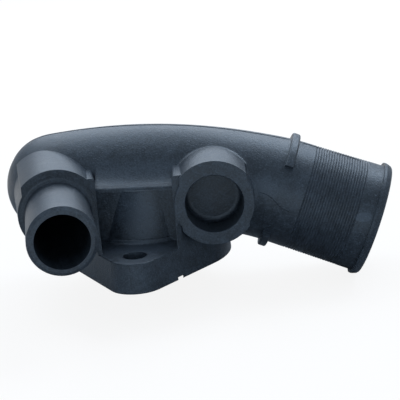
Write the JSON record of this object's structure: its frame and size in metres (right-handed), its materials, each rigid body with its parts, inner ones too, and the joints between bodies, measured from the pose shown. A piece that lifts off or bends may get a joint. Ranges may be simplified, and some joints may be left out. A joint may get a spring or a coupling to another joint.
{
  "type": "coolant flange",
  "caption": "Black moulded coolant flange: bolted plate, domed tube, ribbed radiator spigot, heater spigot and closed sensor socket.",
  "frame": {"origin": "centre of the coolant opening on the sealing face", "axes": "+Z away from the engine, +X along the tube towards the radiator spigot, -Y towards the heater spigot and the front bolt pocket"},
  "size_m": [0.1208, 0.0928, 0.0496],
  "materials": {
    "body": "black glass-filled nylon with a fine moulded grain and a soft sheen"
  },
  "bodies": {
    "root": {"flange_body": "body"}
  },
  "joints": []
}
